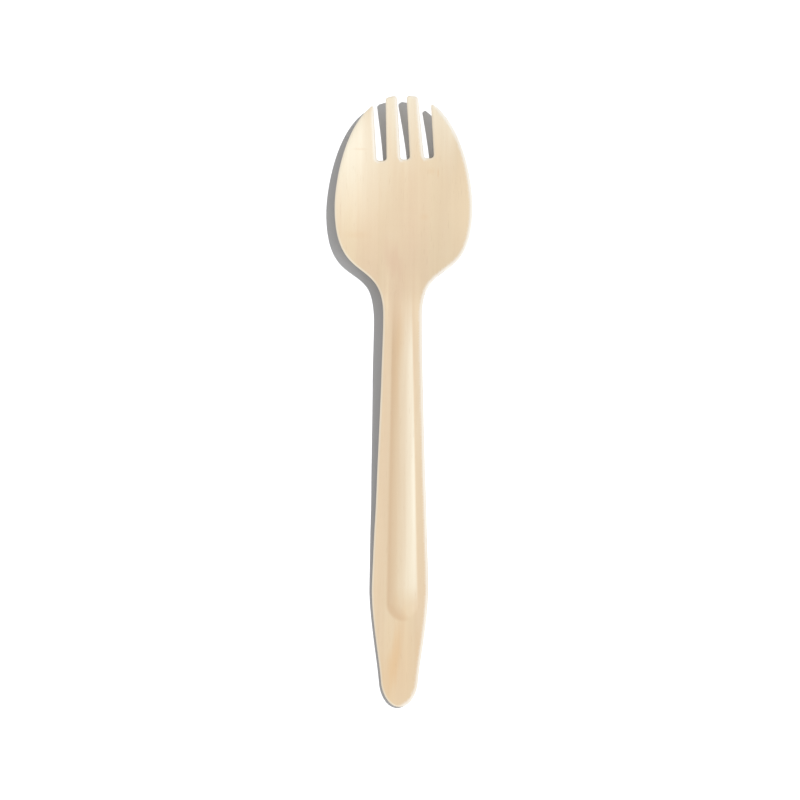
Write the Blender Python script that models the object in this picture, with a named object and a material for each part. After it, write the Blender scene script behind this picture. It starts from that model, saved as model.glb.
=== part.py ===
"""Wooden spork, pressed from one sheet of birch veneer.

The blank is cut flat, with four tines at one end, and its edges are broken all round. The dies then
press the bowl, the rise of the handle and the handle's rib into it. The spork lies as it comes to
rest: bowl and handle end on the table, tines towards +Y, and the origin under its middle.

Along the spork, places are measured from the end of the handle. Lengths are in metres.
"""

import math

import bmesh
import bpy
from mathutils import Matrix, Vector, geometry

# Sheet
SHEET = 0.0018  # thickness of the pressed veneer
EDGE_ROUND = 0.0004  # radius that breaks every cut edge

# Outline of the head, from the crown of the tines down to the neck
LENGTH = 0.1602  # end of the handle to the crown
BOWL_WIDTH = 0.0360
BOWL_DROP = 0.0293  # crown to the widest place
CROWN_RUN = 0.0149  # how far the outline keeps its direction on each side of a place
BOWL_RUN_UP = 0.0065
BOWL_RUN_DOWN = 0.0212

# Outline of the handle
NECK_WIDTH = 0.0101
NECK_DROP = 0.0577  # crown to the narrowest place
NECK_RUN_UP = 0.0158
NECK_RUN_DOWN = 0.0152
GRIP_WIDTH = 0.0148
GRIP_PLACE = 0.0310  # where the handle is widest
GRIP_RUN_UP = 0.0042
GRIP_RUN_DOWN = 0.0076
END_WIDTH = 0.0097
END_PLACE = 0.0065  # where the round end begins
END_SLOPE = math.radians(5.3)
END_RUN_UP = 0.0074
END_RUN_DOWN = 0.0030
END_RUN = 0.0028  # flatness of the round end at its lowest place

# Tines
SLOT_LENGTH = 0.0168  # crown to the foot of the slots
CENTRE_SLOT = 0.00245
SIDE_SLOT = 0.0026  # width at the foot
TINE_FOOT = 0.0037  # width of an inner tine at its foot
TINE_TIP = 0.0030  # and at its tip
COMB_TURN = math.radians(3.7)  # the slots are cut a little askew
COMB_SHIFT = 0.0002  # and, with the crown, a little to the left
TIP_ROUND = 0.0008
TIP_ROOM = 0.0022  # stretch of an outer tine's edge that its round takes up
FOOT_ROUND = 0.0008

# Bowl
BOWL_DEPTH = 0.0050
DEEPEST_DROP = 0.0320  # crown to the deepest place
DISH_FOOT = 0.0215  # deepest place to where the dish runs out at the neck
FLAT_SHARE = 0.2  # share of the dish that is flat at its bottom
DISH_BLEND = 0.25  # softness of the dish's border, 0 for a sharp one

# Handle's rise from the table to the neck
LEVEL_END = 0.0180  # stretch of the handle that lies on the table
RISE_BLEND = 0.25  # share of the rise that bends, at each of its ends

# Rib
RIB_HEIGHT = 0.0008
RIB_NECK_WIDTH = 0.0053
RIB_GRIP_WIDTH = 0.0081
RIB_DRIFT = 0.0006  # spine of the rib to the right of the middle, at the grip
RIB_START = 0.0232  # end of the handle to the rib's round end
RIB_FULL_DROP = 0.0690  # crown to where the rib has its full height
RIB_FADE = 0.0290  # and from there to where it has run out in the bowl

# Fineness of the mesh
CURVE_STEPS = 30  # for each stretch of the outline
ARC_STEPS = 4
LONGEST_EDGE = 0.0020
EDGE_BAND = 0.00025  # even band of faces along the broken edge
NET_STEP = 0.0016
NET_MARGIN = 0.0012
RIB_ROW_STEP = 0.0035
RIB_LINES = 4  # on each flank
ROUND_STEPS = 8
WELD = 0.000001

WOOD_COLOUR = (0.83, 0.66, 0.46, 1.0)
WOOD_ROUGHNESS = 0.62


def clear_scene():
    for thing in list(bpy.data.objects):
        bpy.data.objects.remove(thing, do_unlink=True)


def named_collection(name):
    collection = bpy.data.collections.new(name)
    bpy.context.scene.collection.children.link(collection)
    return collection


def wood_material():
    material = bpy.data.materials.new("pale wood")
    material.use_nodes = True
    shader = material.node_tree.nodes["Principled BSDF"]
    shader.inputs["Base Color"].default_value = WOOD_COLOUR
    shader.inputs["Roughness"].default_value = WOOD_ROUGHNESS
    shader.inputs["Metallic"].default_value = 0.0
    return material


def side_knots(crown_shift):
    """Right side of the outline: place, direction, and how long it holds before and after."""
    forward = Vector((0.0, 1.0))
    outward = Vector((1.0, 0.0))
    end_direction = Vector((math.sin(END_SLOPE), math.cos(END_SLOPE)))
    return [
        (Vector((0.0, 0.0)), outward, 0.0, END_RUN),
        (Vector((END_WIDTH / 2, END_PLACE)), end_direction, END_RUN_DOWN, END_RUN_UP),
        (Vector((GRIP_WIDTH / 2, GRIP_PLACE)), forward, GRIP_RUN_DOWN, GRIP_RUN_UP),
        (Vector((NECK_WIDTH / 2, LENGTH - NECK_DROP)), forward, NECK_RUN_DOWN, NECK_RUN_UP),
        (Vector((BOWL_WIDTH / 2, LENGTH - BOWL_DROP)), forward, BOWL_RUN_DOWN, BOWL_RUN_UP),
        (Vector((crown_shift, LENGTH)), -outward, CROWN_RUN, 0.0),
    ]


def right_side(crown_shift):
    """Points of the right side, from the end of the handle to the crown."""
    knots = side_knots(crown_shift)
    points = []
    for (start, leaving, _, run_out), (end, arriving, run_in, _) in zip(knots, knots[1:]):
        stretch = geometry.interpolate_bezier(
            start, start + leaving * run_out, end - arriving * run_in, end, CURVE_STEPS + 1
        )
        points.extend(Vector(point[:2]) for point in stretch[:-1])
    return points + [knots[-1][0]]


def mirrored(points):
    return [Vector((-point.x, point.y)) for point in reversed(points)]


def slots():
    """Walls of the three slots from right to left, each as foot and mouth of its two sides."""
    foot = LENGTH - SLOT_LENGTH
    middle = Vector((0.0, LENGTH - SLOT_LENGTH / 2))
    shift = Vector((-COMB_SHIFT, 0.0))
    tine_edge = CENTRE_SLOT / 2
    side_walls = [
        (tine_edge + TINE_FOOT + SIDE_SLOT, tine_edge + TINE_FOOT + SIDE_SLOT),
        (tine_edge + TINE_FOOT, tine_edge + TINE_TIP),
    ]
    centre_walls = [(tine_edge, tine_edge), (-tine_edge, -tine_edge)]
    left_walls = [(-foot_x, -mouth_x) for foot_x, mouth_x in reversed(side_walls)]
    askew = Matrix.Rotation(COMB_TURN, 2)
    cuts = []
    for walls in (side_walls, centre_walls, left_walls):
        ends = [(Vector((low, foot)), Vector((high, LENGTH))) for low, high in walls]
        cuts.append([[middle + shift + askew @ (end - middle) for end in wall] for wall in ends])
    return cuts


def crossing(wall, crown):
    """Place where a slot's wall, drawn on past its mouth, leaves through the crown."""
    foot, mouth = wall
    beyond = foot + (mouth - foot) * 2
    for start, end in zip(crown, crown[1:]):
        place = geometry.intersect_line_line_2d(foot, beyond, start, end)
        if place is not None:
            return place
    raise ValueError("A slot does not reach the crown")


def rounded(before, corner, after, radius):
    """Arc that rounds a corner between two straight runs."""
    to_before = (before - corner).normalized()
    to_after = (after - corner).normalized()
    half_angle = to_before.angle(to_after) / 2
    centre = corner + (to_before + to_after).normalized() * radius / math.sin(half_angle)
    start = corner + to_before * radius / math.tan(half_angle) - centre
    sweep = start.angle_signed(corner + to_after * radius / math.tan(half_angle) - centre)
    turns = [-sweep * step / ARC_STEPS for step in range(ARC_STEPS + 1)]
    return [centre + Matrix.Rotation(turn, 2) @ start for turn in turns]


def split_long_edges(points):
    """Closed outline with its long straight runs split, so that they can bend."""
    result = []
    for start, end in zip(points, points[1:] + points[:1]):
        pieces = math.ceil((end - start).length / LONGEST_EDGE)
        result.extend(start.lerp(end, piece / pieces) for piece in range(pieces))
    return result


def up_to_tip(side, tip):
    """The points of a side that come before an outer tine's tip and leave room for its round."""
    near = [index for index, place in enumerate(side) if (place - tip).length < TIP_ROOM]
    return side[:near[0]]


def blank_outline():
    """Closed outline of the flat blank, counter-clockwise from the end of the handle."""
    right = right_side(-COMB_SHIFT)
    left = mirrored(right_side(COMB_SHIFT))
    whole_crown = right[-CURVE_STEPS - 1:] + left[1:CURVE_STEPS + 1]
    corners = []
    for right_wall, left_wall in slots():
        corners.append((crossing(right_wall, whole_crown), TIP_ROUND))
        corners.append((right_wall[0], FOOT_ROUND))
        corners.append((left_wall[0], FOOT_ROUND))
        corners.append((crossing(left_wall, whole_crown), TIP_ROUND))
    right = up_to_tip(right, corners[0][0])
    left = up_to_tip(left[::-1], corners[-1][0])[::-1]
    places = [right[-1]] + [place for place, _ in corners] + [left[0]]
    comb = []
    for index, (place, radius) in enumerate(corners):
        comb.extend(rounded(places[index], place, places[index + 2], radius))
    return split_long_edges(right + comb + left[:-1])


def rim_of_blank(outline):
    """Cut edge of the blank with both its corners rounded, still open above and below."""
    curve = bpy.data.curves.new("blank edge", "CURVE")
    curve.dimensions = "2D"
    curve.fill_mode = "BOTH"
    edge_round = min(EDGE_ROUND, TIP_ROUND / 2, SHEET / 3)
    curve.bevel_depth = edge_round
    curve.bevel_resolution = 1
    curve.extrude = SHEET / 2 - edge_round
    curve.offset = -edge_round
    spline = curve.splines.new("POLY")
    spline.points.add(len(outline) - 1)
    for point, place in zip(spline.points, outline):
        point.co = (place.x, place.y, 0.0, 1.0)
    spline.use_cyclic_u = True
    holder = bpy.data.objects.new("blank edge", curve)
    bpy.context.scene.collection.objects.link(holder)
    evaluated = holder.evaluated_get(bpy.context.evaluated_depsgraph_get())
    mesh = bpy.data.meshes.new_from_object(evaluated)
    bpy.data.objects.remove(holder)
    rim = bmesh.new()
    rim.from_mesh(mesh)
    bpy.data.meshes.remove(mesh)
    bmesh.ops.remove_doubles(rim, verts=rim.verts, dist=WELD)
    lids = [face for face in rim.faces if abs(face.normal.z) > 0.99]
    bmesh.ops.delete(rim, geom=lids, context="FACES")
    return rim


def share_of_handle(place):
    """Share of the way from the grip to the neck."""
    return (place - GRIP_PLACE) / (LENGTH - NECK_DROP - GRIP_PLACE)


def rib_half_width(place):
    """The rib narrows evenly from the grip to the neck."""
    return (RIB_GRIP_WIDTH + (RIB_NECK_WIDTH - RIB_GRIP_WIDTH) * share_of_handle(place)) / 2


def rib_spine(place):
    """The rib is pressed a little askew: its spine meets the middle at the neck."""
    return RIB_DRIFT * (1 - share_of_handle(place))


def rib_round_centre():
    """Centre of the rib's round end."""
    return RIB_START + RIB_GRIP_WIDTH / 2


def rib_top():
    """Place in the bowl where the rib has run out."""
    return LENGTH - RIB_FULL_DROP + RIB_FADE


def rib_lines():
    """Lines that follow the rib's spine and flanks and go round its end, up to the bowl."""
    low, high = rib_round_centre(), rib_top()
    rows = math.ceil((high - low) / RIB_ROW_STEP)
    rises = [high + (low - high) * row / rows for row in range(rows + 1)]
    lines = [[Vector((0.0, place)) for place in rises]]
    for line in range(1, RIB_LINES + 1):
        share = line / RIB_LINES
        flank = [Vector((share * rib_half_width(place), place)) for place in rises]
        spoke = Vector((share * rib_half_width(low), 0.0))
        turns = [-math.pi * step / ROUND_STEPS for step in range(1, ROUND_STEPS)]
        bend = [Vector((0.0, low)) + Matrix.Rotation(turn, 2) @ spoke for turn in turns]
        lines.append(flank + bend + mirrored(flank))
    return [[Vector((place.x + rib_spine(place.y), place.y)) for place in line] for line in lines]


def head_net():
    """Even net of places over the head, each row set off by half a step."""
    foot = LENGTH - NECK_DROP
    rows = math.ceil(NECK_DROP / NET_STEP)
    columns = math.ceil(BOWL_WIDTH / 2 / NET_STEP)
    return [
        Vector(((column + row % 2 / 2) * NET_STEP, foot + row * NET_STEP))
        for row in range(rows)
        for column in range(-columns, columns + 1)
    ]


def distance_to_line(place, line):
    nearest = math.inf
    for start, end in zip(line, line[1:]):
        _, share = geometry.intersect_point_line(place, start, end)
        foot = start.lerp(end, min(max(share, 0.0), 1.0))
        nearest = min(nearest, (place - foot).length)
    return nearest


def bending_net(rim, outline):
    """Flat net over the whole blank, fine enough to be pressed, that meets the rim all round."""
    border = [vertex for vertex in rim.verts if vertex.is_boundary and vertex.co.z > 0]
    order = {vertex: index for index, vertex in enumerate(border)}
    edges = [edge for edge in rim.edges if edge.is_boundary and edge.verts[0] in order]
    bounds = [tuple(order[vertex] for vertex in edge.verts) for edge in edges]
    places = [vertex.co.to_2d() for vertex in border]
    lines = rib_lines()
    for line in lines:
        bounds.extend((len(places) + step, len(places) + step + 1) for step in range(len(line) - 1))
        places.extend(line)
    for place in head_net():
        margin = min(distance_to_line(place, line) for line in lines + [outline + outline[:1]])
        if margin > NET_MARGIN:
            places.append(place)
    net_places, _, net_faces, *_ = geometry.delaunay_2d_cdt(places, bounds, [], 1, WELD / 10)
    return net_places, net_faces


def close_faces(blank, net):
    """Lay the net over the blank's upper and lower face, weld it to the rim and band its edge."""
    places, faces = net
    lids = []
    for height in (SHEET / 2, -SHEET / 2):
        corners = [blank.verts.new((place[0], place[1], height)) for place in places]
        lids.append([blank.faces.new([corners[index] for index in face]) for face in faces])
    bmesh.ops.remove_doubles(blank, verts=blank.verts, dist=WELD)
    outside = [vertex for vertex in blank.verts if not vertex.link_faces]
    bmesh.ops.delete(blank, geom=outside, context="VERTS")
    bmesh.ops.recalc_face_normals(blank, faces=blank.faces)
    for lid in lids:
        bmesh.ops.inset_region(blank, faces=lid, thickness=EDGE_BAND, use_even_offset=True)


def soft_positive(value, softness):
    """The value where it is positive and nothing where it is negative, with a soft bend."""
    return (value + math.sqrt(value * value + softness * softness)) / 2


def dish(x, y):
    """Share of the bowl's depth at a place: 1 on the flat bottom, 0 beyond the dish's border."""
    deepest = LENGTH - DEEPEST_DROP
    reach = DEEPEST_DROP if y > deepest else DISH_FOOT
    out = math.hypot(x / (BOWL_WIDTH / 2), (y - deepest) / reach)
    slope = max(0.0, out - FLAT_SHARE) / (1 - FLAT_SHARE)
    return soft_positive(1 - slope * slope, DISH_BLEND) / soft_positive(1, DISH_BLEND)


def rise(y):
    """Share of the handle's rise at a place: a straight ramp that bends in and out."""
    neck = LENGTH - NECK_DROP
    share = min(max((y - LEVEL_END) / (neck - LEVEL_END), 0.0), 1.0)
    bend = RISE_BLEND
    if share < bend:
        return share * share / (2 * bend * (1 - bend))
    if share > 1 - bend:
        return 1 - (1 - share) * (1 - share) / (2 * bend * (1 - bend))
    return (share - bend / 2) / (1 - bend)


def rib(x, y):
    """Share of the rib's height: an arched section with a round end, fading into the bowl."""
    past_end = max(0.0, rib_round_centre() - y)
    reach = rib_half_width(max(y, rib_round_centre()))
    across = math.hypot(x - rib_spine(y), past_end) / reach
    share = min(max((y - LENGTH + RIB_FULL_DROP) / RIB_FADE, 0.0), 1.0)
    fade = 1 - share * share * (3 - 2 * share)
    return max(0.0, 1 - across * across) * fade


def press(blank):
    """Bring the flat sheet to its form. The middle of the sheet follows the dies."""
    for vertex in blank.verts:
        x, y, _ = vertex.co
        lift = BOWL_DEPTH * (rise(y) - dish(x, y)) + RIB_HEIGHT * rib(x, y)
        vertex.co.z += SHEET / 2 + lift


def settle(blank):
    """Set the origin under the middle of the spork, on the table."""
    lows = [min(vertex.co[axis] for vertex in blank.verts) for axis in range(3)]
    highs = [max(vertex.co[axis] for vertex in blank.verts) for axis in range(3)]
    middle = Vector(((lows[0] + highs[0]) / 2, (lows[1] + highs[1]) / 2, lows[2]))
    bmesh.ops.translate(blank, verts=blank.verts, vec=-middle)


def build_spork():
    outline = blank_outline()
    blank = rim_of_blank(outline)
    close_faces(blank, bending_net(blank, outline))
    press(blank)
    settle(blank)
    mesh = bpy.data.meshes.new("spork")
    blank.to_mesh(mesh)
    blank.free()
    mesh.materials.append(wood_material())
    mesh.shade_smooth()
    spork = bpy.data.objects.new("spork", mesh)
    named_collection("wooden spork").objects.link(spork)
    return spork


clear_scene()
build_spork()
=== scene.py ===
"""Looks of the wooden spork: one sheet of birch veneer, cut, pressed and rubbed smooth.

The sheet is worked out flat and then pressed, as the real one is. Along the spork, places are
measured from the end of the handle. Lengths are in metres.
"""

import logging
import math
from dataclasses import dataclass, field
from enum import Enum
from typing import Sequence

import bpy
import numpy as np
from mathutils import Euler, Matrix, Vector, geometry


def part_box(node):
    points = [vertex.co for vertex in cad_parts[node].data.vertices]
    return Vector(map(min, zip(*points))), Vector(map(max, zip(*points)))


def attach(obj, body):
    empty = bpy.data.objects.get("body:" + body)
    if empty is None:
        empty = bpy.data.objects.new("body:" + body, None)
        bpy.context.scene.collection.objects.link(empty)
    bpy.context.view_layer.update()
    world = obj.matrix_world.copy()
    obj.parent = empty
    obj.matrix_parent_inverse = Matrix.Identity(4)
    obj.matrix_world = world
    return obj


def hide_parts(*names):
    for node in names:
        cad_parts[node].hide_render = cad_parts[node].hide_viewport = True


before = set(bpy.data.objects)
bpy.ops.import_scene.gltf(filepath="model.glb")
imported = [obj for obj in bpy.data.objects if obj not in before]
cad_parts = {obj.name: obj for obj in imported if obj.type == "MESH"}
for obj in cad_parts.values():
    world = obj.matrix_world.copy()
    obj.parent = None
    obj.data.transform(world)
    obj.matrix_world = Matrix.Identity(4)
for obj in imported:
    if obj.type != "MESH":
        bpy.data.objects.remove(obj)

log = logging.getLogger("wooden spork")

CAD_NODE = "spork"
CAD_BODY = "root"
MILLIMETRES = 1000
NOISE_CELLS = 64
SMALLEST_TURN = 1e-9
SMALLEST_GAP = 1e-6

Colour = tuple[float, float, float, float]
Span = tuple[float, float]
Socket = bpy.types.NodeSocket


class Side(Enum):
    """The two faces of the sheet, with the direction of their normals."""

    TOP = 1
    UNDER = -1


class Flank(Enum):
    """The two flanks of the rib, with the way they face across the spork."""

    LEFT = -1
    RIGHT = 1


class Seed(Enum):
    """Seeds of the noises, so that each run gives the same wood."""

    WAVES_TOP = 11
    WAVES_UNDER = 12
    FIBRES_TOP = 21
    FIBRES_UNDER = 22
    EDGE_WAVER = 31


def soft_positive(value: np.ndarray, softness: float) -> np.ndarray:
    """Soft positive part: half the sum of the value and its hypotenuse with the softness."""
    return (value + np.sqrt(value * value + softness * softness)) / 2


def smooth_share(value: np.ndarray) -> np.ndarray:
    """Ease a share from 0 to 1, held outside: three of its square less two of its cube."""
    share = np.clip(value, 0.0, 1.0)
    return share * share * (3 - 2 * share)


def value_noise(across: np.ndarray, along: np.ndarray, seed: Seed) -> np.ndarray:
    """Smooth noise from -1 to 1 over a grid of random heights, one for each whole number.

    Between four neighbours the height is eased in both directions.

    Args:
        across: First place of each point, counted in cells.
        along: Second place of each point, counted in cells.
        seed: Which noise.

    Returns:
        One value for each point.
    """
    random = np.random.default_rng(seed.value)
    heights = random.uniform(-1.0, 1.0, (NOISE_CELLS, NOISE_CELLS))
    column, row = np.floor(across), np.floor(along)
    right, up = smooth_share(across - column), smooth_share(along - row)
    column, row = column.astype(int) % NOISE_CELLS, row.astype(int) % NOISE_CELLS
    next_column, next_row = (column + 1) % NOISE_CELLS, (row + 1) % NOISE_CELLS
    low = heights[column, row] * (1 - right) + heights[next_column, row] * right
    high = heights[column, next_row] * (1 - right) + heights[next_column, next_row] * right
    return low * (1 - up) + high * up


@dataclass
class Blank:
    """Outline of the flat sheet: handle, neck, bowl and the tines between their slots.

    A drop is a place's distance from the crown, a run is how far the outline holds its direction
    from a place, and the comb is the slots and tines together.
    """

    length: float = 0.1602
    bowl_width: float = 0.0360
    bowl_drop: float = 0.0293
    crown_run: float = 0.0149
    bowl_run_up: float = 0.0065
    bowl_run_down: float = 0.0212
    neck_width: float = 0.0101
    neck_drop: float = 0.0577
    neck_run_up: float = 0.0158
    neck_run_down: float = 0.0152
    grip_width: float = 0.0148
    grip_place: float = 0.0310
    grip_run_up: float = 0.0042
    grip_run_down: float = 0.0076
    end_width: float = 0.0097
    end_place: float = 0.0065
    end_slope: float = math.radians(5.3)
    end_run_up: float = 0.0074
    end_run_down: float = 0.0030
    end_run: float = 0.0028
    slot_length: float = 0.0168
    centre_slot: float = 0.00245
    side_slot: float = 0.0026
    tine_foot: float = 0.0037
    tine_tip: float = 0.0030
    comb_turn: float = math.radians(3.7)
    comb_shift: float = 0.0002
    tip_round: float = 0.0008
    outer_tip_round: float = 0.00035
    tip_room: float = 0.0022
    foot_round: float = 0.0008
    curve_steps: int = 120
    arc_steps: int = 12
    step: float = 0.00025
    waver: float = 0.00005
    waver_pitch: float = 0.009

    @property
    def neck(self) -> float:
        """Place of the narrowest part."""
        return self.length - self.neck_drop

    def half(self, crown_shift: float) -> np.ndarray:
        """One side of the outline, from the end of the handle to the crown.

        Cubic curves between places where the outline's direction is known. Each place holds its
        direction for its run on either side.

        Args:
            crown_shift: How far the crown stands to the right of the middle.

        Returns:
            Points as rows of across and along.
        """
        lean = [math.sin(self.end_slope), math.cos(self.end_slope)]
        places = np.array([
            [0.0, 0.0],
            [self.end_width / 2, self.end_place],
            [self.grip_width / 2, self.grip_place],
            [self.neck_width / 2, self.neck],
            [self.bowl_width / 2, self.length - self.bowl_drop],
            [crown_shift, self.length],
        ])
        headings = np.array([[1.0, 0.0], lean, [0.0, 1.0], [0.0, 1.0], [0.0, 1.0], [-1.0, 0.0]])
        runs_in = np.array([
            self.end_run_down, self.grip_run_down, self.neck_run_down, self.bowl_run_down,
            self.crown_run,
        ])
        runs_out = np.array([
            self.end_run, self.end_run_up, self.grip_run_up, self.neck_run_up, self.bowl_run_up
        ])
        corners = np.stack([
            places[:-1],
            places[:-1] + headings[:-1] * runs_out[:, None],
            places[1:] - headings[1:] * runs_in[:, None],
            places[1:],
        ], axis=1)
        share = np.linspace(0.0, 1.0, self.curve_steps, endpoint=False)
        rest = 1 - share
        weights = np.stack([rest**3, 3 * rest**2 * share, 3 * rest * share**2, share**3])
        curve = np.einsum("kp,skc->spc", weights, corners).reshape(-1, 2)
        return np.vstack([curve, places[-1:]])

    def walls(self) -> np.ndarray:
        """Foot and mouth of the six walls of the slots, from right to left, turned askew.

        Returns:
            Walls by foot and mouth by across and along.
        """
        edge = self.centre_slot / 2
        outer = edge + self.tine_foot + self.side_slot
        foot = np.array([outer, edge + self.tine_foot, edge])
        mouth = np.array([outer, edge + self.tine_tip, edge])
        across = np.stack([np.append(foot, -foot[::-1]), np.append(mouth, -mouth[::-1])], axis=1)
        along = np.tile([-self.slot_length / 2, self.slot_length / 2], (len(across), 1))
        turn = np.array([
            [math.cos(self.comb_turn), -math.sin(self.comb_turn)],
            [math.sin(self.comb_turn), math.cos(self.comb_turn)],
        ])
        middle = np.array([-self.comb_shift, self.length - self.slot_length / 2])
        return np.stack([across, along], axis=2) @ turn.T + middle

    def crossings(self, walls: np.ndarray, crown: np.ndarray) -> np.ndarray:
        """Places where the walls, drawn on past their mouths, leave through the crown.

        A crown point's side of a wall is the sign of their cross product. The crossing lies
        between the two neighbours whose signs differ, shared by their distances from the wall.

        Args:
            walls: Foot and mouth of each wall.
            crown: Points of the crown from right to left.

        Returns:
            One place for each wall.
        """
        found = []
        for foot, mouth in walls:
            way = mouth - foot
            from_foot = crown - foot
            side = way[0] * from_foot[:, 1] - way[1] * from_foot[:, 0]
            ahead = from_foot @ way > 0
            index = int(np.flatnonzero((side[:-1] * side[1:] <= 0) & ahead[:-1])[0])
            share = side[index] / (side[index] - side[index + 1])
            found.append(crown[index] + (crown[index + 1] - crown[index]) * share)
        return np.array(found)

    def rounded(self, places: np.ndarray, radii: np.ndarray) -> np.ndarray:
        """Arcs in place of the inner corners of a run of straight lines.

        The arc's centre is on the line that halves the corner, as far away as its radius over the
        sine of half the corner's angle.

        Args:
            places: The corners, with one more place before the first and after the last.
            radii: Radius of each corner's arc.

        Returns:
            Points of all arcs in order.
        """
        corner = places[1:-1]
        before = places[:-2] - corner
        after = places[2:] - corner
        before /= np.linalg.norm(before, axis=1)[:, None]
        after /= np.linalg.norm(after, axis=1)[:, None]
        half = np.arccos((before * after).sum(axis=1)) / 2
        halving = before + after
        halving /= np.linalg.norm(halving, axis=1)[:, None]
        centre = corner + halving * (radii / np.sin(half))[:, None]
        start = corner + before * (radii / np.tan(half))[:, None] - centre
        crossed = before[:, 0] * after[:, 1] - before[:, 1] * after[:, 0]
        sweep = -np.sign(crossed) * (math.pi - 2 * half)
        angle = sweep[:, None] * np.linspace(0.0, 1.0, self.arc_steps + 1)
        cosine, sine = np.cos(angle), np.sin(angle)
        across = cosine * start[:, :1] - sine * start[:, 1:]
        along = sine * start[:, :1] + cosine * start[:, 1:]
        return (np.stack([across, along], axis=2) + centre[:, None]).reshape(-1, 2)

    def outline(self) -> np.ndarray:
        """Closed outline, counter-clockwise from the end of the handle, at even steps.

        The two sides meet at the crown, which gives way to the rounded corners of the slots.

        Returns:
            Points as rows of across and along.
        """
        right = self.half(-self.comb_shift)
        left = self.half(self.comb_shift)[::-1] * [-1.0, 1.0]
        crown = np.vstack([right[-self.curve_steps - 1:], left[1:self.curve_steps + 1]])
        walls = self.walls()
        mouths = self.crossings(walls, crown)
        corners = np.stack([
            mouths[0::2], walls[0::2, 0], walls[1::2, 0], mouths[1::2]
        ], axis=1).reshape(-1, 2)
        slots = len(walls) // 2
        radii = np.tile([self.tip_round, self.foot_round, self.foot_round, self.tip_round], slots)
        radii[[0, -1]] = self.outer_tip_round
        near_right = np.linalg.norm(right - corners[0], axis=1) < self.tip_room
        near_left = np.linalg.norm(left - corners[-1], axis=1) < self.tip_room
        right = right[:int(np.argmax(near_right))]
        left = left[int(np.flatnonzero(near_left)[-1]) + 1:]
        comb = self.rounded(np.vstack([right[-1:], corners, left[:1]]), radii)
        return self.waver_along(self.even(np.vstack([right, comb, left[:-1]])))

    def even(self, loop: np.ndarray) -> np.ndarray:
        """The same closed line with its points at even distances along it.

        Args:
            loop: Points of a closed line, the first not repeated.

        Returns:
            Points of the closed line.
        """
        closed = np.vstack([loop, loop[:1]])
        reach = np.append(0.0, np.cumsum(np.linalg.norm(np.diff(closed, axis=0), axis=1)))
        count = math.ceil(reach[-1] / self.step)
        stops = np.linspace(0.0, reach[-1], count, endpoint=False)
        return np.stack([np.interp(stops, reach, closed[:, axis]) for axis in range(2)], axis=1)

    def waver_along(self, loop: np.ndarray) -> np.ndarray:
        """Let the outline waver a little, as the cutting die and the rubbing leave it.

        Args:
            loop: Points of the closed outline at even steps.

        Returns:
            The points moved along the outline's normals by noise.
        """
        pitch = self.waver_pitch
        shift = value_noise(loop[:, 0] / pitch, loop[:, 1] / pitch, Seed.EDGE_WAVER)
        return loop + outward(loop) * (shift * self.waver)[:, None]


def outward(loop: np.ndarray) -> np.ndarray:
    """Unit normals of a closed counter-clockwise line, pointing out of it.

    The way from the point before to the point after, turned a quarter clockwise.

    Args:
        loop: Points of the line.

    Returns:
        One normal for each point.
    """
    way = np.roll(loop, -1, axis=0) - np.roll(loop, 1, axis=0)
    normal = np.stack([way[:, 1], -way[:, 0]], axis=1)
    return normal / np.linalg.norm(normal, axis=1)[:, None]


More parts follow.
